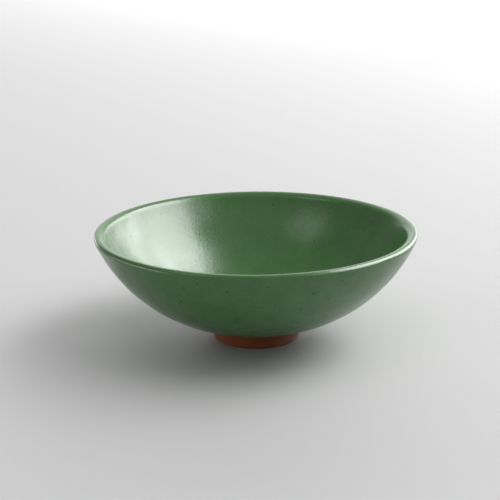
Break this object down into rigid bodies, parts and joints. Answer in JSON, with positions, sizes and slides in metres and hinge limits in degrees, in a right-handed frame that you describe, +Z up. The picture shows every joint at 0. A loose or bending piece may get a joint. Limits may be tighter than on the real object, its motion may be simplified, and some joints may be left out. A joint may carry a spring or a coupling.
{
  "type": "salad bowl",
  "caption": "Round stoneware salad bowl with a wide open curve, rounded lip, satin green glaze and a bare clay foot ring.",
  "frame": {"origin": "centre of the foot ring's standing face, on the table", "axes": "+Z up along the turning axis, out of the mouth; +X and +Y are any two directions square to it, because the bowl is turned"},
  "size_m": [0.23, 0.23, 0.08],
  "materials": {
    "bowl_clay": "bare iron-red stoneware, matt, hidden under the glaze except inside the foot ring",
    "foot_clay": "bare iron-red stoneware, matt, sponged smooth on its standing face",
    "green_glaze": "satin green stoneware glaze with sparse dark iron specks"
  },
  "bodies": {
    "root": {"clay_bowl": "bowl_clay", "foot_ring": "foot_clay", "glaze_coat": "green_glaze"}
  },
  "joints": []
}
